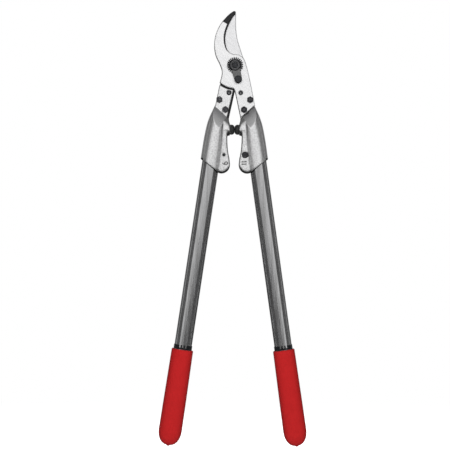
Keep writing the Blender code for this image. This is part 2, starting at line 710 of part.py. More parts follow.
def stem_hole():
    """Cutter for the hole in the boss that holds the buffer's stem."""
    front, end = -BUFFER_FACE_X + MM, -BUFFER_FACE_X - BUFFER_STEM_L - SEAT_GAP
    hole = rod("stem_hole", (0, 0), BUFFER_STEM_R + SEAT_GAP, front, end, sides=18)
    hole.data.transform(BUFFER_AXIS)
    return hole


def slit():
    """Cutter for the slit that lets the ear screw pull the two halves of the holder together."""
    length = 60.0 * MM
    reach = EAR_CENTRE.x + EAR_R
    place = Matrix.Translation((reach / 2, 0, SLIT_TOP_Z - length / 2))
    return block("slit", Vector((reach, SLIT_T, length)), place)


def socket():
    """The whole casting of the right side."""
    body = loft("socket", holder_rings())
    body.data.transform(tube_axis())
    slab = plate("slab", slab_outline(), -SLAB_HALF_T, SLAB_HALF_T, chamfer=SLAB_ROUND, rounds=2,
                 where=CUTTERS)
    join(body, slab, boss())
    cut(body, mouth_cutter())
    shape(body, "INTERSECT", roof())
    join(body, tongue())
    bore = tube_bore(TUBE_START - SEAT_GAP, COLLAR_START)
    bore.data.transform(tube_axis())
    beyond = SLAB_HALF_T + 4 * MM
    cut(body, bore, slit(), stem_hole(), *drills(),
        rod("screw_hole", EAR_SCREW_AT, EAR_SCREW_R + SEAT_GAP, -beyond, beyond, sides=16),
        rod("counterbore", EAR_SCREW_AT, CAP_R + SEAT_GAP, -beyond, -SLAB_HALF_T + CAP_SUNK, sides=20))
    return body


def buffer():
    """Rubber dome with its stem, its base seated on the boss."""
    base = BUFFER_FACE_X - SEAT_GAP
    tip = BUFFER_GAP / 2
    dome = []
    for i in range(8):
        angle = math.pi / 2 * i / 7
        radius = BUFFER_R * math.sin(angle) ** (2 / DOME)
        dome.append((radius, -(tip + (base - tip) * (1 - math.cos(angle) ** (2 / DOME)))))
    end = BUFFER_FACE_X + BUFFER_STEM_L
    part = turned("buffer", dome + [(BUFFER_STEM_R, -base), (BUFFER_STEM_R, -end), (0, -end)], 24)
    part.data.transform(BUFFER_AXIS)
    return part


def ear_screw():
    """Socket cap screw that clamps the ear, its head sunk in the front of the right ear."""
    seat = -SLAB_HALF_T + CAP_SUNK - SEAT_GAP
    top = seat - CAP_T
    end = SLAB_HALF_T - EAR_SCREW_END
    screw = turned("ear_screw", [
        (0, top), (CAP_R - CAP_CHAMFER, top), (CAP_R, top + CAP_CHAMFER), (CAP_R, seat),
        (EAR_SCREW_R, seat), (EAR_SCREW_R, end - CAP_CHAMFER), (EAR_SCREW_R - CAP_CHAMFER, end),
        (0, end)], 20)
    key = plate("key", hexagon(CAP_HEX), top - MM, top + CAP_T / 2, where=CUTTERS)
    cut(screw, key)
    screw.data.transform(Matrix.Translation((EAR_SCREW_AT.x, 0, EAR_SCREW_AT.y)))
    return screw


def locating_pin():
    """Hollow pin through tongue and tang."""
    ends = BACK + PIN_PROUD
    pin = turned("locating_pin", [(PIN_R, -ends), (PIN_R, ends), (PIN_BORE_R, ends),
                                  (PIN_BORE_R, -ends)], 16)
    pin.data.transform(Matrix.Translation((PIN_AT.x, 0, PIN_AT.y)))
    return pin


# Handles, in the frame of the tube axis

def sleeve(name, half_w, half_d, start, end, bore_w, bore_d):
    """An oval tube between two distances, with an oval bore right through."""
    outer = loft(name, [ring_on_axis(oval_ring(half_w, half_d), s) for s in (start, end)])
    inner = loft("bore", [ring_on_axis(oval_ring(bore_w, bore_d), s)
                          for s in (start - MM, end + MM)], CUTTERS)
    cut(outer, inner)
    return outer


def tube():
    """Oval handle tube, from inside the socket to inside the grip."""
    return sleeve("tube", TUBE_W / 2, TUBE_D / 2, TUBE_START, GRIP_END - TUBE_END_IN_GRIP,
                  TUBE_W / 2 - TUBE_WALL, TUBE_D / 2 - TUBE_WALL)


def collar():
    """Ring round the tube at the top of the grip, slotted from above in the front and the back."""
    ring = sleeve("collar", TUBE_W / 2 + COLLAR_PROUD, TUBE_D / 2 + COLLAR_PROUD, COLLAR_START,
                  GRIP_START - SEAT_GAP, TUBE_W / 2 + SEAT_GAP, TUBE_D / 2 + SEAT_GAP)
    size = Vector((COLLAR_SLOT_W, 2 * TUBE_D, 2 * COLLAR_SLOT_L))
    places = [(i - (COLLAR_SLOTS - 1) / 2) * COLLAR_SLOT_PITCH for i in range(COLLAR_SLOTS)]
    cut(ring, *[block("slot", size, Matrix.Translation((x, 0, -COLLAR_START))) for x in places])
    return ring


def grip():
    """Closed sleeve that widens to a domed end with a small nub."""
    dome_from = GRIP_END - GRIP_NUB_L - GRIP_DOME_L
    sections = [(GRIP_START, GRIP_TOP_W / 2 - GRIP_RIM), (GRIP_START + GRIP_RIM, GRIP_TOP_W / 2),
                (dome_from, GRIP_END_W / 2)]
    for i in range(1, 8):
        angle = math.radians(83) * i / 7
        sections.append((dome_from + GRIP_DOME_L * math.sin(angle) ** 0.95,
                         GRIP_END_W / 2 * math.cos(angle) ** 0.85))
    sections += [(GRIP_END - GRIP_NUB_L * 0.4, GRIP_NUB_R), (GRIP_END, GRIP_NUB_R * 0.4)]
    flat = GRIP_FLATNESS / GRIP_END_W
    body = loft("grip", [ring_on_axis(oval_ring(half, half * (1 - flat)), s) for s, half in sections])
    cut(body, tube_bore(GRIP_START - MM, GRIP_END - TUBE_END_IN_GRIP + SEAT_GAP))
    return body


# Assembly

def empty(name, parent, matrix):
    """An empty that carries pieces."""
    obj = bpy.data.objects.new(name, None)
    obj.empty_display_size = 20 * MM
    PARTS.objects.link(obj)
    obj.parent = parent
    obj.matrix_local = matrix
    return obj


def finish(obj, look, parent):
    """Give a piece its material, its shading and its carrier."""
    smooth(obj)
    obj.data.materials.clear()
    obj.data.materials.append(look)
    obj.data.name = obj.name
    obj.parent = parent


def both_sides(obj, look, sides):
    """Put the right piece on its side and the same mesh on the left, half a turn round."""
    base = obj.name
    right, left = sides
    obj.name = "right_" + base
    finish(obj, look, right)
    twin = bpy.data.objects.new("left_" + base, obj.data)
    PARTS.objects.link(twin)
    twin.parent = left


def build():
    """Model every piece and put it in its place."""
    looks = {spec[0]: material(*spec) for spec in (
        BLADE_STEEL, CAST_ALLOY, TUBE_ALLOY, BLACK_STEEL, SEGMENT_STEEL, BLACK_RUBBER,
        BLACK_PLASTIC, RED_PLASTIC)}
    pivot = empty("pivot_axis", None, Matrix.Translation((0, 0, PIVOT_HEIGHT)))
    right = empty("right_side", pivot, Matrix())
    left = empty("left_side", pivot, Matrix.Rotation(math.pi, 4, "Z"))
    tubes = [empty(side.name.replace("side", "tube_axis"), side, tube_axis()) for side in (right, left)]

    finish(counter_blade(), looks["blade_steel"], pivot)
    finish(cutting_blade(), looks["blade_steel"], pivot)
    finish(pivot_bolt(), looks["black_steel"], pivot)
    finish(washer("pivot_washer", BACK + SEAT_GAP, PIVOT_WASHER_T, PIVOT_WASHER_R,
                  PIVOT_SHANK_R + SEAT_GAP), looks["black_steel"], pivot)
    finish(toothed_nut(), looks["black_steel"], pivot)
    finish(lock_segment(), looks["segment_steel"], pivot)
    finish(lock_screw(), looks["black_steel"], pivot)
    finish(washer("lock_washer", SEGMENT_FRONT - SEAT_GAP, -LOCK_WASHER_T, LOCK_WASHER_R,
                  M5_R + SEAT_GAP, segment_screw_at()), looks["black_steel"], pivot)

    nut_seat = FRONT - SEAT_GAP
    head_seat = BACK + SEAT_GAP
    bolt_end = nut_seat - M5_NUT_T - M5_END
    both_sides(socket(), looks["cast_alloy"], (right, left))
    for name, at in (("outer", OUTER_BOLT_AT), ("inner", INNER_BOLT_AT)):
        both_sides(hex_bolt(name + "_bolt", at, head_seat, M5_HEAD_T, bolt_end),
                   looks["black_steel"], (right, left))
        both_sides(hex_nut(name + "_nut", at, nut_seat, -M5_NUT_T), looks["black_steel"],
                   (right, left))
    both_sides(locating_pin(), looks["black_steel"], (right, left))
    both_sides(ear_screw(), looks["black_steel"], (right, left))
    both_sides(buffer(), looks["black_rubber"], (right, left))
    both_sides(tube(), looks["tube_alloy"], tubes)
    both_sides(collar(), looks["black_plastic"], tubes)
    both_sides(grip(), looks["red_plastic"], tubes)
    bpy.context.view_layer.update()


build()
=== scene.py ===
"""Looks of the long handled lopper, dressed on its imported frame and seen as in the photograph.

X runs right, Y back and Z up, in metres, with the origin on the peg that the lopper hangs on. In the
constants below a height is counted from the pivot, and "aside" is the distance from the plane X = 0.
A pair of lengths is where a shade begins to change and where it has changed.
"""
import json
import math

import bmesh
import bpy
from mathutils import Matrix, Vector, kdtree


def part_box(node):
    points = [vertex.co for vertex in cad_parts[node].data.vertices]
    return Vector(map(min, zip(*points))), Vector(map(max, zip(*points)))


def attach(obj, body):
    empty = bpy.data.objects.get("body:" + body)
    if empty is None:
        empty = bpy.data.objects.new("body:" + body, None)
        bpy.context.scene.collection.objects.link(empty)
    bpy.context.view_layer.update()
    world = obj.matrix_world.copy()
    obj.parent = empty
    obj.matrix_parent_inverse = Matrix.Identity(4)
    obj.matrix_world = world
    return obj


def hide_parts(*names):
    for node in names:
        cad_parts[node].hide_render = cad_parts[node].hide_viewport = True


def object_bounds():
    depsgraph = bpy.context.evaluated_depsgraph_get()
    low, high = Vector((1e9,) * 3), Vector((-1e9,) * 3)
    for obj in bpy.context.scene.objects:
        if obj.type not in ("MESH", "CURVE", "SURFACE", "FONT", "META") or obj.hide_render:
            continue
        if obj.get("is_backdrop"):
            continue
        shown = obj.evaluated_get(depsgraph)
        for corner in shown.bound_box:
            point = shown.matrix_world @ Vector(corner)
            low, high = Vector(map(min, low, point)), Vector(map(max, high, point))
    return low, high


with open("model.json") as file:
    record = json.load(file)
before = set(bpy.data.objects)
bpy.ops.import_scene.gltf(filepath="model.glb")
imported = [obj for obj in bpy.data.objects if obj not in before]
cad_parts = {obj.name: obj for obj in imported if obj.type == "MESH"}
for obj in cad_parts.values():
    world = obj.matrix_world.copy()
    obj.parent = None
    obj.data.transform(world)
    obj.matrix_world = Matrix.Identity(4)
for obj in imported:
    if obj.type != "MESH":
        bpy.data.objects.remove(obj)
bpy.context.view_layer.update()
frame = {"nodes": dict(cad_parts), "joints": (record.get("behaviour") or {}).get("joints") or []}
NODES = frame["nodes"]

MM = 0.001
PIVOT = Vector(frame["joints"][0]["pos_m"])
SIDES = {"right": ("counter_side", 1), "left": ("cutting_side", -1)}    # body, and way along X

# The photograph's camera, level and square to the lopper, rolled a little
CAMERA_DISTANCE = 2.4
CAMERA_AIM = Vector((-12.3, 0.0, -219.8)) * MM + PIVOT
CAMERA_ROLL = math.radians(-0.38)
SENSOR_WIDTH = 36.0
FRAME_WIDTH = 620.6 * MM          # width of the view in the plane of the blades

# Lamps, with their places and watts, all aimed at one point
LAMP_SIZE = 0.9
LAMP_AIM = PIVOT - Vector((0, 0, 200 * MM))
LAMPS = {"key": ((-0.35, -1.7, 0.35), 12.3), "fill": ((0.45, -1.7, 0.15), 8.0),
         "back": ((0.20, 1.7, 0.35), 17.0)}

# The room that gloss sees, by the sideways, backward and upward part of the direction it looks in:
# while that part goes from the first number to the second, the light goes from the third to the fourth
SCREEN_SIDES = (0.54, 0.67, 1.20, 0.17)      # a wide pale screen in front, with dull walls beside it
SCREEN_TOP = (0.36, 0.47, 1.0, 0.38)
SCREEN_FOOT = (-0.46, -0.32, 0.03, 1.0)
STAND_TOP = -0.035                # a dark stand before the screen, wider the lower it gets
STAND_WIDENS = 10.0
STAND_EDGE = (0.02, 0.08, 0.12, 1.0)
STAND_LIGHT = 0.14                # stand and walls are no darker than this
ROOM = {
    "front corners": (("back", -0.38, -0.32, 0.0, 1.0), ("back", -0.20, -0.12, 0.45, 0.0),
                      ("wide", 0.80, 0.90, 0.0, 1.0)),
    "side walls": (("back", -0.20, -0.13, 0.0, 1.0), ("back", 0.0, 0.08, 1.0, 0.0),
                   ("wide", 0.80, 0.90, 0.0, 0.90)),
    "back wall": (("back", 0.45, 0.72, 0.0, 0.95), ("up", -0.20, 0.02, 0.05, 1.0)),
    "floor in front": (("up", -0.30, -0.22, 0.70, 0.0), ("up", -0.46, -0.34, 0.05, 1.0)),
    "floor below": (("up", -0.85, -0.70, 0.60, 0.0),),
}
ROOM_LIGHT = 0.25                 # what the room gives to everything but gloss

FLOOR_DROP = 110 * MM             # how far the floor lies below the grips
FLOOR_R = 4.0
FLOOR_STEPS = 96
FLOOR_FADE = (0.9, 1.8)           # it fades into the white room between these distances
FLOOR_GREY = (0.86, 0.86, 0.86)
FLOOR_LIFT = 0.80                 # light that the camera sees on the floor beside that of the lamps

BEVEL_SAMPLES = 6                 # of the shader that rounds edges
RIM_R = 2.2 * MM                  # painted shade on the rims of blades and tongues fades over about this width
RIM_SHADE = (0.06, 0.06, 0.06)

# Blades
BLADE_EDGE_R = 1.6 * MM
BLADE_GRIND_TURN = (0, -48, 0)    # the way of the brushing, in degrees
# painted shade on the blades' side faces and edges
BLADE_SIDE_SHADE = (0.30, 0.30, 0.305)
BLADE_PAINTED_BLACK = (0.014, 0.014, 0.015)
TIP_LINE_FROM = Vector((-18.3, 60.8)) * MM   # the hook is painted black beyond this line, from the pivot, as a dark reflection
TIP_LINE_TO = Vector((-10.6, 56.4)) * MM
TIP_LINE_BLUR = 0.2 * MM
BEVEL_HEIGHT = (17 * MM, 22 * MM)            # above this the hook's ground edge is painted black as a dark reflection
HOOK_RIM = (20 * MM, 32 * MM, 1.0, 0.25)     # heights where the painted shade on the hook's left rim pales, and shares
TANG_RIM = (-28 * MM, -24 * MM, 1.0, 0.0)    # and the cutting blade's
TANG_HEIGHT = (-22 * MM, -18 * MM)           # below this the cutting blade is painted black as shade
TANG_DEPTH = (1.0 * MM, 1.5 * MM)            # and only in front of this depth

HUB_HIGHLIGHT = (6.4 * MM, 7.0 * MM)   # painted highlight: the toothed nut is paler in spots inside this radius

# The ramps that the castings' shoulders slope down, milled flat
SHOULDER_IN = Vector((10.6, -70.8)) * MM     # aside and height where the shoulder line begins
SHOULDER_DOWN = math.radians(41.3 - 90)      # the way down from that line
NECK_FROM = Vector((20.1, -84.0)) * MM       # a ramp ends on the line from here up to SHOULDER_IN
NECK_BLUR = 0.6 * MM
NECK_SHADE = (5.0 * MM, 10.0 * MM)            # painted shade darkens the neck beside it this far below the shoulder
NECK_TOP = 0.2 * MM
RAMP_SLOPE = math.tan(math.radians(21))
RAMP_SKIN = (0.15 * MM, 0.45 * MM)           # faces this near to a ramp's plane are milled
RAMP_TOP = 0.4 * MM
RAMP_FADE = 15.0 * MM                        # painted shade: a ramp is darker at the shoulder and grows paler over this length
PLATES_HALF_T = 5.15 * MM
TONGUE_END = (-0.6 * MM, -0.2 * MM)          # the tongue ends this near to the shoulder line

# Painted shade on the castings' flanks, rims and undersides
CAST_EDGE_R = 1.0 * MM
CAST_SHADE_GREY = (0.10, 0.10, 0.10)
FLANK_ASIDE = (17 * MM, 20 * MM)             # the outer flanks lie farther aside
UNDER_DARK = (0.03, 0.03, 0.03)
UNDER_R = 4.0 * MM                           # an underside darkens the rounded edges over this radius
END_HEIGHT = (-129.2 * MM, -126.7 * MM)      # undersides are dark below this height,
BOSS_ASIDE = (11 * MM, 14 * MM)              # and beside the buffers within this distance
BOSS_HEIGHT = (-106 * MM, -104 * MM)         # and above this height
EAR_UNDER_R = 6.0 * MM                       # they are darker round the ears' ends,
EAR_ASIDE = (22 * MM, 27 * MM)               # within this distance
EAR_HEIGHT = (-139 * MM, -134 * MM)          # and below this height,
CORNER_ASIDE = (42.4 * MM, 43.6 * MM)        # and on the outer corners beyond this distance
CORNER_HEIGHT = (-128.2 * MM, -126.7 * MM)   # and below this height

# The solids leave clearance round pins and screws, which the looks close
PIN_BORE_LIMIT = 2.0 * MM         # a pin's bore lies inside this radius
PIN_GROWS = 0.27 * MM
PIN_BORE_SHRINKS = 0.12 * MM
HEAD_HOLE_R = 4.55 * MM
SHANK_HOLE_R = 2.7 * MM
HEAD_SEAT = 4.5 * MM              # the head's seat is farther than this from the middle plane
HOLE_FADE = 2.0 * MM
HOLE_DRAWN_IN = 0.7 * MM
SCREW_SHRINKS = 0.22 * MM
SCREW_SOCKET_R = 2.35 * MM        # the head's hexagon socket, which stays, lies inside this radius

# The castings' skin
VOXEL = 0.6 * MM
WELD = 0.001 * MM
CREASE_ANGLE = math.radians(15)
CREASE_OUTSIDE = 6.5 * MM         # creases nearer the middle plane Y = 0 stay sharp
FILLET_R = 2.6 * MM
FILLET_PASSES = 24
EDGE_PASSES = 2
FACES_KEPT = 0.4
SCREW_CLEAR_R = 5.0 * MM          # no fillet cuts into the seat of the ear's screw

# The ears' round ends reach lower than in the solids
EAR_END_FROM = -134.0 * MM        # below this height
EAR_END_ASIDE = 27.0 * MM         # and within this distance,
EAR_END_OVER = 6.0 * MM           # growing over this length to
EAR_END_DROP = 0.8 * MM

# The rubber buffers, as distances from the plane X = 0 and from their own axis
BUFFER_TIP = 0.02 * MM
BUFFER_FLAT_R = 2.6 * MM
BUFFER_SHOULDER = 4.6 * MM        # from here on a buffer is straight
BUFFER_BASE = 6.3 * MM
BUFFER_CHAMFER = 0.5 * MM
BUFFER_FULLNESS = 0.85            # the power that makes its dome fuller than an ellipse
BUFFER_RINGS = 12
BUFFER_STEPS = 48

# Strokes of the numbers cast into the ears, on a field as high as 1, lying on their side
EAR_FACE = -8.0 * MM
DIGIT_H = 7.2 * MM
DIGIT_STROKE_R = 0.75 * MM
DIGIT_SUNK = 0.3 * DIGIT_STROKE_R            # how deep a stroke's middle lies in the ear's face
DIGIT_PITCH = 0.45
DIGIT_MIDDLE = 0.3                # the middle of a digit's width on its field
DIGITS = {
    "1": [[(0.16, 0.12), (0.16, 0.96)], [(0.04, 0.80), (0.16, 0.96)], [(0.05, 0.12), (0.27, 0.12)]],
    "9": [[(0.30 + 0.25 * math.cos(a), 0.70 + 0.28 * math.sin(a))
           for a in [math.radians(30 * i) for i in range(13)]],
          [(0.55, 0.70), (0.53, 0.42), (0.42, 0.16), (0.22, 0.0)]],
}
MARKS = {"right": ("11", Vector((13.3, -135.4)) * MM), "left": ("9", Vector((-12.8, -134.8)) * MM)}


# Node helpers

class Nodes:
    """Nodes that are added to a tree one by one."""

    def __init__(self, tree):
        self.tree = tree

    def add(self, kind, **settings):
        """A new node with its settings."""
        node = self.tree.nodes.new(kind)
        for key, value in settings.items():
            setattr(node, key, value)
        return node

    def feed(self, socket, value):
        """Link a socket to another, or set its value."""
        if isinstance(value, bpy.types.NodeSocket):
            self.tree.links.new(value, socket)
        elif socket.type == "RGBA" and len(value) == 3:
            socket.default_value = (*value, 1.0)
        else:
            socket.default_value = value

    def maths(self, operation, a, b=0.0):
        """The result of a Math node."""
        node = self.add("ShaderNodeMath", operation=operation)
        for socket, value in zip(node.inputs, (a, b)):
            self.feed(socket, value)
        return node.outputs[0]

    def ramp(self, value, low, high, to_low=0.0, to_high=1.0):
        """A smooth step of a value between low and high."""
        node = self.add("ShaderNodeMapRange", interpolation_type="SMOOTHSTEP")
        for socket, given in zip(node.inputs, (value, low, high, to_low, to_high)):
            self.feed(socket, given)
        return node.outputs[0]

    def product(self, *values):
        """All the values multiplied."""
        result = values[0]
        for value in values[1:]:
            result = self.maths("MULTIPLY", result, value)
        return result

    def highest(self, *values):
        """The highest of the values."""
        result = values[0]
        for value in values[1:]:
            result = self.maths("MAXIMUM", result, value)
        return result

    def inverse(self, value):
        """What a share leaves of 1."""
        return self.maths("SUBTRACT", 1.0, value)

    def weighed(self, a, weight_a, b, weight_b):
        """The sum of two values, each times its weight."""
        return self.maths("ADD", self.maths("MULTIPLY", a, weight_a), self.maths("MULTIPLY", b, weight_b))

    def split(self, vector):
        """The three coordinates of a vector."""
        node = self.add("ShaderNodeSeparateXYZ")
        self.feed(node.inputs[0], vector)
        return node.outputs


class Look(Nodes):
    """A material placed on the coordinates of its object."""

    def __init__(self, name):
        self.material = bpy.data.materials.new(name)
        self.material.use_nodes = True
        super().__init__(self.material.node_tree)
        self.shader = self.tree.nodes["Principled BSDF"]
        self.place = self.add("ShaderNodeTexCoord").outputs["Object"]
        self.axes = None

    def set(self, **inputs):
        """Set or link inputs of the shader; an underscore stands for a space."""
        for key, value in inputs.items():
            self.feed(self.shader.inputs[key.replace("_", " ")], value)

    def blend(self, share, a, b):
        """A mix of two colours."""
        node = self.add("ShaderNodeMix", data_type="RGBA")
        self.feed(node.inputs[0], share)
        self.feed(node.inputs[6], a)
        self.feed(node.inputs[7], b)
        return node.outputs[2]

    def noise(self, size, stretch=(1, 1, 1), turn=(0, 0, 0), detail=3.0, rough=0.55):
        """Noise whose grains are about a size in metres, drawn out along axes turned by degrees."""
        mapping = self.add("ShaderNodeMapping", vector_type="TEXTURE")
        self.feed(mapping.inputs["Vector"], self.place)
        mapping.inputs["Rotation"].default_value = [math.radians(a) for a in turn]
        mapping.inputs["Scale"].default_value = [size * s for s in stretch]
        node = self.add("ShaderNodeTexNoise")
        self.feed(node.inputs["Vector"], mapping.outputs[0])
        node.inputs["Scale"].default_value = 1.0
        node.inputs["Detail"].default_value = detail
        node.inputs["Roughness"].default_value = rough
        return node.outputs[0]

    def rounded(self, radius):
        """The direction of a surface whose edges are softly rounded."""
        node = self.add("ShaderNodeBevel", samples=BEVEL_SAMPLES)
        node.inputs["Radius"].default_value = radius
        return node.outputs[0]

    def bump(self, height, depth, edge_round=0.0):
        """Bump from a height of 0 to 1 that stands for a depth in metres, over softly rounded edges."""
        node = self.add("ShaderNodeBump")
        if edge_round:
            self.feed(node.inputs["Normal"], self.rounded(edge_round))
        self.feed(node.inputs["Height"], height)
        node.inputs["Strength"].default_value = 1.0
        node.inputs["Distance"].default_value = depth
        self.feed(self.shader.inputs["Normal"], node.outputs[0])

    def axis(self, letter):
        """One coordinate of the object's place."""
        if self.axes is None:
            self.axes = self.split(self.place)
        return self.axes[letter]

    def height(self):
        """The height from the pivot."""
        return self.maths("SUBTRACT", self.axis("Z"), PIVOT.z)

    def aside(self):
        """The distance from the plane X = 0."""
        return self.maths("ABSOLUTE", self.axis("X"))

    def normal(self, letter, edge_round=0.0):
        """One coordinate of the face's own direction, or of that of a surface with rounded edges."""
        if edge_round:
            way = self.rounded(edge_round)
        else:
            way = self.add("ShaderNodeNewGeometry").outputs["True Normal"]
        own = self.add("ShaderNodeVectorTransform", vector_type="NORMAL", convert_from="WORLD",
                       convert_to="OBJECT")
        self.feed(own.inputs[0], way)
        return self.split(own.outputs[0])[letter]

    def facing(self):
        """How squarely a face looks to the front or back, from 0 to 1."""
        return self.maths("ABSOLUTE", self.normal("Y"))


# Materials

def hook_painted_reflection(look, facing, height):
    """The share of black on the hook, a painted dark reflection: its tip and its ground edge."""
    black = look.product(look.ramp(look.normal("X"), 0.25, 0.35), look.ramp(facing, 0.86, 0.94, 1.0, 0.0),
                         look.ramp(facing, 0.2, 0.4), look.ramp(height, *BEVEL_HEIGHT))
    along = (TIP_LINE_TO - TIP_LINE_FROM).normalized()
    level = TIP_LINE_FROM.y * along.x - TIP_LINE_FROM.x * along.y
    above = look.weighed(height, along.x, look.axis("X"), -along.y)
    return look.highest(black, look.ramp(above, level - TIP_LINE_BLUR, level + TIP_LINE_BLUR))


def tang_painted_shade(look, height):
    """The share of black on the cutting blade, painted shade: the front of its tang."""
    return look.product(look.ramp(height, *TANG_HEIGHT, 1.0, 0.0),
                        look.ramp(look.axis("Y"), *TANG_DEPTH, 1.0, 0.0))


def blade_look(name, is_hook, pale, dark):
    """Brushed blade steel, with painted shade on its sides and left rims: the hook has a black tip and
    ground edge, a painted dark reflection, and the cutting blade a black tang, painted shade.
    """
    look = Look(name)
    streaks = look.noise(0.8 * MM, (0.6, 1, 18), BLADE_GRIND_TURN, 4.0, 0.7)
    broad = look.noise(3.0 * MM, (0.8, 1, 9), BLADE_GRIND_TURN, 2.0)
    clouds = look.noise(22 * MM, detail=2.0)
    facing, height = look.facing(), look.height()
    colour = look.blend(look.ramp(streaks, 0.3, 0.7), [c * 0.92 for c in pale], pale)
    colour = look.blend(look.ramp(broad, 0.45, 0.7, 0.0, 0.75), colour, dark)
    colour = look.blend(look.ramp(clouds, 0.35, 0.75, 0.0, 0.4), colour, dark)
    # painted shade: side faces greyer
    colour = look.blend(look.ramp(facing, 0.2, 0.6, 1.0, 0.0), colour, BLADE_SIDE_SHADE)
    # painted shade on the left-facing rounded rims
    rim = look.product(look.ramp(look.normal("X", RIM_R), -0.5, -0.1, 0.95, 0.0),
                       look.ramp(height, *(HOOK_RIM if is_hook else TANG_RIM)))
    colour = look.blend(rim, colour, RIM_SHADE)
    # painted black: a dark reflection on the hook's tip and ground edge, shade on the cutting blade's tang
    black = hook_painted_reflection(look, facing, height) if is_hook else tang_painted_shade(look, height)
    colour = look.blend(black, colour, BLADE_PAINTED_BLACK)
    rough = look.maths("ADD", look.ramp(streaks, 0.3, 0.7, 0.24, 0.36),
                       look.ramp(facing, 0.2, 0.6, 0.25, 0.0))
    look.set(Base_Color=colour, Roughness=look.maths("ADD", rough, look.product(black, 0.12)),
             Metallic=look.ramp(black, 0.0, 1.0, 1.0, 0.35))
    look.bump(look.product(streaks, look.ramp(facing, 0.3, 0.7)), 0.012 * MM, BLADE_EDGE_R)
    return look.material


def shoulder(look):
    """How far a point lies below a casting's shoulder line, its milled ramp and the painted shade on the
    neck beside.
    """
    out = look.maths("SUBTRACT", look.aside(), SHOULDER_IN.x)
    up = look.maths("SUBTRACT", look.axis("Z"), PIVOT.z + SHOULDER_IN.y)
    below = look.weighed(out, math.cos(SHOULDER_DOWN), up, math.sin(SHOULDER_DOWN))
    edge = (NECK_FROM - SHOULDER_IN).normalized()
    holder = look.ramp(look.weighed(out, -edge.y, up, edge.x), 0.0, NECK_BLUR)
    plane = look.maths("ADD", look.product(below, RAMP_SLOPE), PLATES_HALF_T)
    depth = look.maths("ABSOLUTE", look.axis("Y"))
    off = look.maths("ABSOLUTE", look.maths("SUBTRACT", depth, plane))
    milled = look.product(look.ramp(off, *RAMP_SKIN, 1.0, 0.0), look.ramp(below, 0.0, RAMP_TOP), holder)
    neck = look.product(look.inverse(holder), look.ramp(below, 0.0, NECK_TOP),
                        look.ramp(below, *NECK_SHADE, 0.85, 0.0))
    return below, milled, neck


def side_shades(look, milled, tongue):
    """The shares of shade on a casting's outer flank, and on its inner faces and its tongue's outer rim."""
    way = look.maths("SIGN", look.axis("X"))
    inward = look.product(look.normal("X"), way)
    outward = look.product(look.normal("X", RIM_R), way)
    flank = look.product(look.ramp(outward, 0.10, 0.35), look.inverse(milled),
                         look.ramp(look.aside(), *FLANK_ASIDE, 0.0, 0.45))
    inner = look.product(look.ramp(inward, -0.5, -0.3, 1.0, 0.0),
                         look.ramp(look.facing(), 0.6, 0.85, 1.0, 0.0))
    rim = look.product(look.ramp(outward, 0.1, 0.5), tongue)
    return flank, look.product(look.highest(inner, rim), 0.85)


def under_shade(look):
    """The share of shade on a casting's undersides, its ear's end and its lower outer corner."""
    aside, height = look.aside(), look.height()
    under = look.highest(look.ramp(look.normal("Z"), -0.5, -0.25, 0.95, 0.0),
                         look.ramp(look.normal("Z", UNDER_R), -0.4, -0.1, 0.95, 0.0))
    end = look.ramp(height, *END_HEIGHT, 1.0, 0.0)
    boss = look.product(look.ramp(aside, *BOSS_ASIDE, 1.0, 0.0), look.ramp(height, *BOSS_HEIGHT))
    ear = look.product(look.ramp(look.normal("Z", EAR_UNDER_R), -0.25, -0.04, 0.95, 0.0),
                       look.ramp(aside, *EAR_ASIDE, 1.0, 0.0), look.ramp(height, *EAR_HEIGHT, 1.0, 0.0))
    corner = look.product(look.ramp(aside, *CORNER_ASIDE), look.ramp(height, *CORNER_HEIGHT, 0.95, 0.0))
    return look.highest(look.product(under, look.highest(end, boss)), ear, corner)


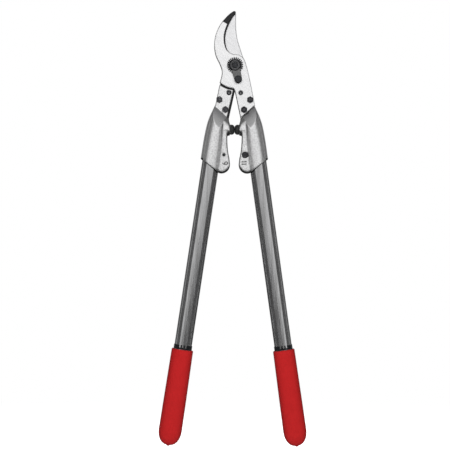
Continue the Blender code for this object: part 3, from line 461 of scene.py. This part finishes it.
def cast_look():
    """Blasted aluminium, pale and grainy, with its tongue brushed and the ramps below it milled; painted
    shade darkens its ramps, necks, flanks, rims and undersides.
    """
    look = Look("cast_alloy_blasted")
    grain = look.noise(0.9 * MM, detail=5.0, rough=0.75)
    coarse = look.noise(2.4 * MM, detail=4.0, rough=0.65)
    dirt = look.noise(12 * MM, detail=4.0)
    colour = look.blend(look.ramp(grain, 0.35, 0.65), (0.90, 0.90, 0.905), (1.0, 1.0, 1.0))
    colour = look.blend(look.ramp(coarse, 0.42, 0.62, 0.0, 0.75), colour, (0.70, 0.70, 0.705))
    colour = look.blend(look.ramp(dirt, 0.5, 0.8, 0.0, 0.2), colour, (0.60, 0.60, 0.605))

    below, milled, neck = shoulder(look)
    lines = look.noise(0.5 * MM, (1, 1, 30), (0, 48.7, 0), 3.0)
    # painted shade: the milled ramps darker near the shoulder
    smooth = look.blend(look.ramp(below, 0.0, RAMP_FADE), (0.26, 0.26, 0.265), (0.61, 0.61, 0.615))
    smooth = look.blend(look.ramp(lines, 0.3, 0.7, 0.0, 0.12), smooth, (0.90, 0.90, 0.90))
    colour = look.blend(milled, colour, smooth)
    # painted shade on the neck
    colour = look.blend(neck, colour, CAST_SHADE_GREY)

    tongue = look.ramp(below, *TONGUE_END, 1.0, 0.0)
    streaks = look.noise(0.8 * MM, (1, 1, 14), (0, 12, 0), 4.0, 0.7)
    brushed = look.blend(look.ramp(streaks, 0.3, 0.7), (0.80, 0.80, 0.805), (0.93, 0.93, 0.935))
    brushed = look.blend(look.ramp(coarse, 0.45, 0.65, 0.0, 0.4), brushed, (0.66, 0.66, 0.665))
    colour = look.blend(tongue, colour, brushed)

    # painted shade on the outer flanks, the inner faces and the tongue's outer rim
    for share in side_shades(look, milled, tongue):
        colour = look.blend(share, colour, CAST_SHADE_GREY)
    colour = look.blend(under_shade(look), colour, UNDER_DARK)

    flat = look.highest(milled, tongue)
    rough = look.ramp(grain, 0.3, 0.7, 0.34, 0.44)
    look.set(Base_Color=colour, Metallic=1.0, Specular_Tint=(0.3, 0.3, 0.3),
             Roughness=look.maths("SUBTRACT", rough, look.product(flat, 0.08)))
    look.bump(look.product(grain, look.inverse(look.product(flat, 0.85))), 0.07 * MM, CAST_EDGE_R)
    return look.material


def tube_look():
    """Grey anodised tube with faint drawing lines along it."""
    look = Look("tube_alloy_anodised")
    fine = look.noise(0.5 * MM, (1, 1, 120), detail=3.0)
    broad = look.noise(2.8 * MM, (1, 1, 60), detail=2.0)
    colour = look.blend(look.ramp(fine, 0.3, 0.7), (0.35, 0.35, 0.355), (0.42, 0.42, 0.425))
    colour = look.blend(look.ramp(broad, 0.44, 0.58, 0.0, 0.85), colour, (0.30, 0.30, 0.30))
    look.set(Base_Color=colour, Roughness=look.ramp(fine, 0.3, 0.7, 0.13, 0.21), Metallic=1.0,
             Specular_Tint=(0.22, 0.22, 0.22))
    look.bump(fine, 0.002 * MM)
    return look.material


def black_steel_look(name, plain, worn, size):
    """Blackened steel with lighter worn spots, which are about a size in metres."""
    look = Look(name)
    spots = look.noise(size, detail=5.0, rough=0.7)
    colour = look.blend(look.ramp(spots, 0.5, 0.78), plain, worn)
    look.set(Base_Color=colour, Roughness=look.ramp(spots, 0.35, 0.7, 0.42, 0.28), Metallic=0.8)
    look.bump(spots, 0.02 * MM)
    return look.material


def segment_look():
    """Dark grey steel of the lock segment."""
    look = Look("segment_steel_dull")
    grain = look.noise(0.8 * MM, (1, 1, 5), (0, 13, 0), 4.0)
    colour = look.blend(look.ramp(grain, 0.3, 0.7), (0.15, 0.15, 0.15), (0.21, 0.21, 0.21))
    look.set(Base_Color=colour, Roughness=look.ramp(grain, 0.3, 0.7, 0.40, 0.52), Metallic=0.8)
    look.bump(grain, 0.02 * MM)
    return look.material


def mark_look():
    """The cast numbers, darker than the casting around them."""
    look = Look("cast_mark_dark")
    grain = look.noise(0.7 * MM, detail=4.0)
    colour = look.blend(grain, (0.15, 0.15, 0.15), (0.24, 0.24, 0.24))
    look.set(Base_Color=colour, Roughness=look.ramp(grain, 0.3, 0.7, 0.40, 0.55), Metallic=1.0)
    look.bump(grain, 0.05 * MM)
    return look.material


def nut_look():
    """Blackened steel whose hub is painted paler in a ring around the recess, a painted highlight in spots.
    """
    look = Look("nut_steel")
    spots = look.noise(1.2 * MM, detail=5.0, rough=0.7)
    flat = look.add("ShaderNodeCombineXYZ")
    for letter in "XZ":
        look.feed(flat.inputs[letter], look.axis(letter))
    away = look.add("ShaderNodeVectorMath", operation="DISTANCE")
    look.feed(away.inputs[0], flat.outputs[0])
    away.inputs[1].default_value = (PIVOT.x, 0.0, PIVOT.z)
    # painted highlight: paler spots on the hub
    worn = look.product(look.ramp(away.outputs["Value"], *HUB_HIGHLIGHT, 1.0, 0.0), look.ramp(spots, 0.3, 0.6))
    colour = look.blend(worn, (0.016, 0.016, 0.018), (0.13, 0.13, 0.135))
    look.set(Base_Color=colour, Roughness=look.ramp(spots, 0.35, 0.7, 0.45, 0.32), Metallic=0.8)
    look.bump(spots, 0.02 * MM)
    return look.material


def rubber_look():
    """Matt black rubber."""
    look = Look("buffer_rubber")
    grain = look.noise(0.4 * MM, detail=3.0)
    colour = look.blend(grain, (0.012, 0.013, 0.013), (0.024, 0.025, 0.025))
    look.set(Base_Color=colour, Roughness=look.ramp(grain, 0.3, 0.7, 0.42, 0.55))
    look.bump(grain, 0.02 * MM)
    return look.material


def collar_look():
    """Glossy black plastic, a little scuffed."""
    look = Look("collar_plastic")
    scuffs = look.noise(1.1 * MM, detail=4.0)
    colour = look.blend(scuffs, (0.006, 0.007, 0.008), (0.014, 0.015, 0.017))
    look.set(Base_Color=colour, Roughness=look.ramp(scuffs, 0.35, 0.7, 0.12, 0.30),
             Specular_IOR_Level=0.2)
    look.bump(scuffs, 0.01 * MM)
    return look.material


def grip_look():
    """Soft red plastic with the fine pebbled skin of a dipped sleeve, and painted shade darkening its
    sides.
    """
    look = Look("grip_soft_red")
    pebble = look.noise(0.8 * MM, detail=4.0, rough=0.6)
    clouds = look.noise(14 * MM, detail=2.0)
    colour = look.blend(look.ramp(pebble, 0.35, 0.65), (0.515, 0.0165, 0.0175), (0.58, 0.0190, 0.0205))
    colour = look.blend(look.ramp(clouds, 0.4, 0.75, 0.0, 0.35), colour, (0.485, 0.0150, 0.0160))
    # painted shade: darker red where the grip faces sideways
    colour = look.blend(look.ramp(look.facing(), 0.1, 1.05, 0.8, 0.0), colour, (0.30, 0.0050, 0.0060))
    look.set(Base_Color=colour, Roughness=look.ramp(pebble, 0.3, 0.7, 0.62, 0.78),
             Specular_IOR_Level=0.12)
    look.bump(pebble, 0.07 * MM)
    return look.material


# Pieces

def dye(mesh, material):
    """Give a mesh one material."""
    mesh.materials.clear()
    mesh.materials.append(material)


def paint(node, material):
    """Give a CAD node a material in place of its own."""
    obj = NODES[node]
    if not obj.material_slots:
        obj.data.materials.append(material)
    for slot in obj.material_slots:
        slot.material = material


def add_piece(name, mesh, material, body):
    """Link a piece, give it its look, and attach it to the body it rides on."""
    obj = bpy.data.objects.new(name, mesh)
    bpy.context.scene.collection.objects.link(obj)
    dye(mesh, material)
    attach(obj, body)
    return obj


def settle(obj):
    """Turn an object's modifiers into its mesh."""
    bpy.context.view_layer.update()
    graph = bpy.context.evaluated_depsgraph_get()
    mesh = bpy.data.meshes.new_from_object(obj.evaluated_get(graph))
    obj.modifiers.clear()
    obj.data = mesh


def middle_of(node):
    """The middle of a CAD node's box."""
    low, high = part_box(node)
    return (low + high) / 2


def welded(mesh):
    """A copy of a mesh with its points welded, and points along the sharp inner corners outside."""
    bm = bmesh.new()
    bm.from_mesh(mesh)
    bmesh.ops.remove_doubles(bm, verts=bm.verts, dist=WELD)
    bmesh.ops.recalc_face_normals(bm, faces=bm.faces)
    creases = []
    for edge in bm.edges:
        a, b = (vert.co for vert in edge.verts)
        outside = min(abs(a.y), abs(b.y)) > CREASE_OUTSIDE
        if outside and edge.is_manifold and edge.calc_face_angle_signed() < -CREASE_ANGLE:
            steps = max(1, round((b - a).length / VOXEL))
            creases += [a.lerp(b, i / steps) for i in range(steps + 1)]
    copy = bpy.data.meshes.new("casting")
    bm.to_mesh(copy)
    bm.free()
    return copy, creases


def fillet_group(obj, creases, screw):
    """Weigh the points of a casting's skin by how near they are to a crease, but none by the screw."""
    tree = kdtree.KDTree(len(creases))
    for i, point in enumerate(creases):
        tree.insert(point, i)
    tree.balance()
    group = obj.vertex_groups.new(name="fillet")
    for vert in obj.data.vertices:
        near = tree.find(vert.co)[2]
        beyond = math.hypot(vert.co.x - screw.x, vert.co.z - screw.z) - SCREW_CLEAR_R
        share = min(2 - 2 * near / FILLET_R, beyond / MM, 1.0)
        group.add([vert.index], max(0.0, share), "REPLACE")


def snug(mesh, node, screw):
    """Draw a casting's skin in around its ear's screw, whose hole is a little wide in the solids."""
    low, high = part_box(node)
    head = -1 if -low.y > high.y else 1
    for vert in mesh.vertices:
        away = Vector((vert.co.x - screw.x, 0.0, vert.co.z - screw.z))
        wall = HEAD_HOLE_R if vert.co.y * head > HEAD_SEAT else SHANK_HOLE_R
        share = min(1.0, 1.0 - (away.length - wall) / HOLE_FADE)
        if share > 0.0:
            vert.co -= away.normalized() * share * HOLE_DRAWN_IN


def lower_ear(mesh):
    """Let the ear's round end reach a little lower, as in the photograph."""
    for vert in mesh.vertices:
        below = EAR_END_FROM - (vert.co.z - PIVOT.z)
        share = min(below / EAR_END_OVER, (EAR_END_ASIDE - abs(vert.co.x)) / EAR_END_OVER, 1.0)
        if share > 0.0:
            vert.co.z -= share * EAR_END_DROP


def casting(side, material):
    """The socket with the soft corners of a forging, in place of its CAD node."""
    node = f"{side}_socket"
    mesh, creases = welded(NODES[node].data)
    obj = add_piece(f"{side}_casting", mesh, material, SIDES[side][0])
    skin = obj.modifiers.new("skin", "REMESH")
    skin.mode = "VOXEL"
    skin.voxel_size = VOXEL
    settle(obj)
    screw = middle_of(f"{side}_ear_screw")
    fillet_group(obj, creases, screw)
    for name, only, passes in (("fillet", "fillet", FILLET_PASSES), ("edges", "", EDGE_PASSES)):
        soften = obj.modifiers.new(name, "SMOOTH")
        soften.vertex_group = only
        soften.iterations = passes
    fewer = obj.modifiers.new("fewer", "DECIMATE")
    fewer.ratio = FACES_KEPT
    settle(obj)
    snug(obj.data, f"{side}_ear_screw", screw)
    lower_ear(obj.data)
    obj.data.shade_smooth()
    dye(obj.data, material)
    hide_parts(node)


def number(side, material):
    """The number cast into the front of an ear, lying on its side."""
    text, middle = MARKS[side]
    curve = bpy.data.curves.new("strokes", "CURVE")
    curve.dimensions = "3D"
    curve.bevel_depth = DIGIT_STROKE_R
    curve.bevel_resolution = 2
    curve.use_fill_caps = True
    for place, digit in enumerate(text):
        shift = (place - (len(text) - 1) / 2) * DIGIT_PITCH - DIGIT_MIDDLE
        for path in DIGITS[digit]:
            spline = curve.splines.new("POLY")
            spline.points.add(len(path) - 1)
            for point, (a, b) in zip(spline.points, path):
                x = middle.x + (b - 0.5) * DIGIT_H
                z = PIVOT.z + middle.y - (a + shift) * DIGIT_H
                point.co = (x, EAR_FACE + DIGIT_SUNK, z, 1.0)
    holder = bpy.data.objects.new("strokes", curve)
    mesh = bpy.data.meshes.new_from_object(holder)
    bpy.data.objects.remove(holder)
    mesh.shade_smooth()
    add_piece(f"{side}_number", mesh, material, SIDES[side][0])


def buffer_profile(radius):
    """A buffer's outline, away from and along its axis, from the middle of its tip to that of its base."""
    profile = [(0.0, BUFFER_TIP), (BUFFER_FLAT_R, BUFFER_TIP)]
    for i in range(1, BUFFER_RINGS + 1):
        turn = math.radians(90) * i / BUFFER_RINGS
        out, rise = math.sin(turn) ** BUFFER_FULLNESS, 1 - math.cos(turn) ** BUFFER_FULLNESS
        profile.append((BUFFER_FLAT_R + (radius - BUFFER_FLAT_R) * out,
                        BUFFER_TIP + (BUFFER_SHOULDER - BUFFER_TIP) * rise))
    return profile + [(radius, BUFFER_BASE - BUFFER_CHAMFER), (radius - BUFFER_CHAMFER, BUFFER_BASE),
                      (0.0, BUFFER_BASE)]


def buffer(side, material):
    """The rubber buffer, pressed flat where it meets the other one, in place of its CAD node."""
    node = f"{side}_buffer"
    low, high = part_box(node)
    middle = (low + high) / 2
    way = SIDES[side][1]
    turns = [2 * math.pi * i / BUFFER_STEPS for i in range(BUFFER_STEPS)]
    bm = bmesh.new()
    rings = []
    for away, along in buffer_profile((high.z - low.z) / 2):
        if away == 0.0:
            rings.append([bm.verts.new((along * way, middle.y, middle.z))] * BUFFER_STEPS)
            continue
        rings.append([bm.verts.new((along * way, middle.y + away * math.cos(turn),
                                    middle.z + away * math.sin(turn))) for turn in turns])
    for inner, outer in zip(rings, rings[1:]):
        for i in range(BUFFER_STEPS):
            after = (i + 1) % BUFFER_STEPS
            bm.faces.new(dict.fromkeys([inner[i], outer[i], outer[after], inner[after]]))
    bmesh.ops.recalc_face_normals(bm, faces=bm.faces)
    mesh = bpy.data.meshes.new("buffer")
    bm.to_mesh(mesh)
    bm.free()
    mesh.shade_smooth()
    piece = add_piece(f"{side}_rubber", mesh, material, SIDES[side][0])
    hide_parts(node)


def resized(side, node, name, limit, outer, inner, material):
    """A pin or screw whose points are shifted out beyond a radius and inside it, in place of its node."""
    node = f"{side}_{node}"
    mesh = NODES[node].data.copy()
    middle = middle_of(node)
    for vert in mesh.vertices:
        away = Vector((vert.co.x - middle.x, 0.0, vert.co.z - middle.z))
        vert.co += away.normalized() * (outer if away.length > limit else inner)
    piece = add_piece(f"{side}_{name}", mesh, material, SIDES[side][0])
    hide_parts(node)


def dress():
    """Every CAD node gets its look, and some are replaced by pieces with softer or snugger shapes."""
    black = black_steel_look("blackened_steel", (0.035, 0.036, 0.04), (0.13, 0.13, 0.135), 1.2 * MM)
    bolt = black_steel_look("bolt_steel", (0.045, 0.045, 0.05), (0.34, 0.34, 0.345), 2.2 * MM)
    rubber, tube, collar = rubber_look(), tube_look(), collar_look()
    grip, cast, mark = grip_look(), cast_look(), mark_look()
    paint("counter_blade", blade_look("hook_steel", True, (0.93, 0.93, 0.935), (0.84, 0.84, 0.85)))
    paint("cutting_blade", blade_look("cutting_steel", False, (0.88, 0.88, 0.89), (0.75, 0.75, 0.76)))
    paint("lock_segment", segment_look())
    paint("toothed_nut", nut_look())
    for node in ("pivot_bolt", "pivot_washer", "lock_screw", "lock_washer"):
        paint(node, black)
    for side in SIDES:
        for name, look in (("outer_bolt", bolt), ("inner_bolt", bolt), ("outer_nut", black),
                           ("inner_nut", black), ("locating_pin", black), ("ear_screw", black),
                           ("socket", cast), ("tube", tube), ("collar", collar), ("grip", grip),
                           ("buffer", rubber)):
            paint(f"{side}_{name}", look)
        NODES[f"{side}_grip"].visible_glossy = False     # no red shows in the tubes and collars
        casting(side, cast)
        number(side, mark)
        buffer(side, rubber)
        resized(side, "locating_pin", "hollow_pin", PIN_BORE_LIMIT, PIN_GROWS, -PIN_BORE_SHRINKS, black)
        resized(side, "ear_screw", "cap_screw", SCREW_SOCKET_R, -SCREW_SHRINKS, 0.0, black)


# Stage

def camera():
    """The photograph's camera."""
    data = bpy.data.cameras.new("camera")
    data.sensor_width = SENSOR_WIDTH
    data.lens = SENSOR_WIDTH * CAMERA_DISTANCE / FRAME_WIDTH
    obj = bpy.data.objects.new("camera", data)
    bpy.context.scene.collection.objects.link(obj)
    obj.matrix_world = (Matrix.Translation(CAMERA_AIM + Vector((0, -CAMERA_DISTANCE, 0)))
                        @ Matrix.Rotation(CAMERA_ROLL, 4, "Y") @ Matrix.Rotation(math.pi / 2, 4, "X"))
    bpy.context.scene.camera = obj


def lamp(name, place, watts):
    """A soft square lamp that leaves no reflection of its own."""
    data = bpy.data.lights.new(name, "AREA")
    data.shape = "SQUARE"
    data.size = LAMP_SIZE
    data.energy = watts
    obj = bpy.data.objects.new(name, data)
    obj.location = place
    obj.rotation_euler = (LAMP_AIM - Vector(place)).to_track_quat("-Z", "Y").to_euler()
    obj.visible_glossy = False
    bpy.context.scene.collection.objects.link(obj)


def studio():
    """Lamps in a white room, of which gloss sees a screen with a dark stand, walls and a floor."""
    world = bpy.data.worlds.new("studio")
    bpy.context.scene.world = world
    world.use_nodes = True
    net = Nodes(world.node_tree)
    across, back, up = net.split(net.add("ShaderNodeTexCoord").outputs["Generated"])
    wide = net.maths("ABSOLUTE", across)
    stand = net.maths("SUBTRACT", wide, net.product(net.maths("SUBTRACT", STAND_TOP, up), STAND_WIDENS))
    screen = net.product(net.ramp(wide, *SCREEN_SIDES), net.ramp(stand, *STAND_EDGE))
    parts = [net.product(net.highest(screen, STAND_LIGHT), net.ramp(up, *SCREEN_TOP),
                         net.ramp(up, *SCREEN_FOOT))]
    ways = {"wide": wide, "back": back, "up": up}
    for steps in ROOM.values():
        parts.append(net.product(*(net.ramp(ways[way], *step) for way, *step in steps)))
    path = net.add("ShaderNodeLightPath")
    gloss = path.outputs["Is Glossy Ray"]
    light = net.maths("ADD", net.product(gloss, net.highest(*parts)),
                      net.product(net.inverse(gloss), ROOM_LIGHT))
    sky = net.tree.nodes["Background"]
    net.feed(sky.inputs["Strength"], net.highest(path.outputs["Is Camera Ray"],
                                                 path.outputs["Is Transmission Ray"], light))
    net.feed(sky.inputs["Color"], (1, 1, 1))
    for name, (place, watts) in LAMPS.items():
        lamp(name, place, watts)


def floor():
    """A pale round floor under the grips that fades into the white room, and that gloss sees through."""
    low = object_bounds()[0].z - FLOOR_DROP
    bm = bmesh.new()
    bmesh.ops.create_circle(bm, cap_ends=True, segments=FLOOR_STEPS, radius=FLOOR_R,
                            matrix=Matrix.Translation((0, 0, low)))
    mesh = bpy.data.meshes.new("floor")
    bm.to_mesh(mesh)
    bm.free()
    obj = bpy.data.objects.new("floor", mesh)
    bpy.context.scene.collection.objects.link(obj)
    look = Look("pale_floor")
    look.set(Base_Color=FLOOR_GREY, Roughness=0.9)
    path = look.add("ShaderNodeLightPath")
    away = look.add("ShaderNodeVectorMath", operation="LENGTH")
    look.feed(away.inputs[0], look.place)
    far = look.ramp(away.outputs["Value"], *FLOOR_FADE)
    lift = look.add("ShaderNodeEmission")
    look.feed(lift.inputs["Strength"], look.product(path.outputs["Is Camera Ray"], FLOOR_LIFT))
    lifted = look.add("ShaderNodeAddShader")
    faded = look.add("ShaderNodeMixShader")
    clear = look.add("ShaderNodeMixShader")
    for socket, value in ((lifted.inputs[0], look.shader.outputs[0]), (lifted.inputs[1], lift.outputs[0]),
                          (faded.inputs[0], look.product(far, path.outputs["Is Camera Ray"])),
                          (faded.inputs[1], lifted.outputs[0]),
                          (faded.inputs[2], look.add("ShaderNodeEmission").outputs[0]),
                          (clear.inputs[0], path.outputs["Is Glossy Ray"]),
                          (clear.inputs[1], faded.outputs[0]),
                          (clear.inputs[2], look.add("ShaderNodeBsdfTransparent").outputs[0]),
                          (look.tree.nodes["Material Output"].inputs["Surface"], clear.outputs[0])):
        look.feed(socket, value)
    dye(mesh, look.material)
    obj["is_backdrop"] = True


camera()
studio()
dress()
floor()
bpy.context.scene.view_settings.view_transform = "Standard"
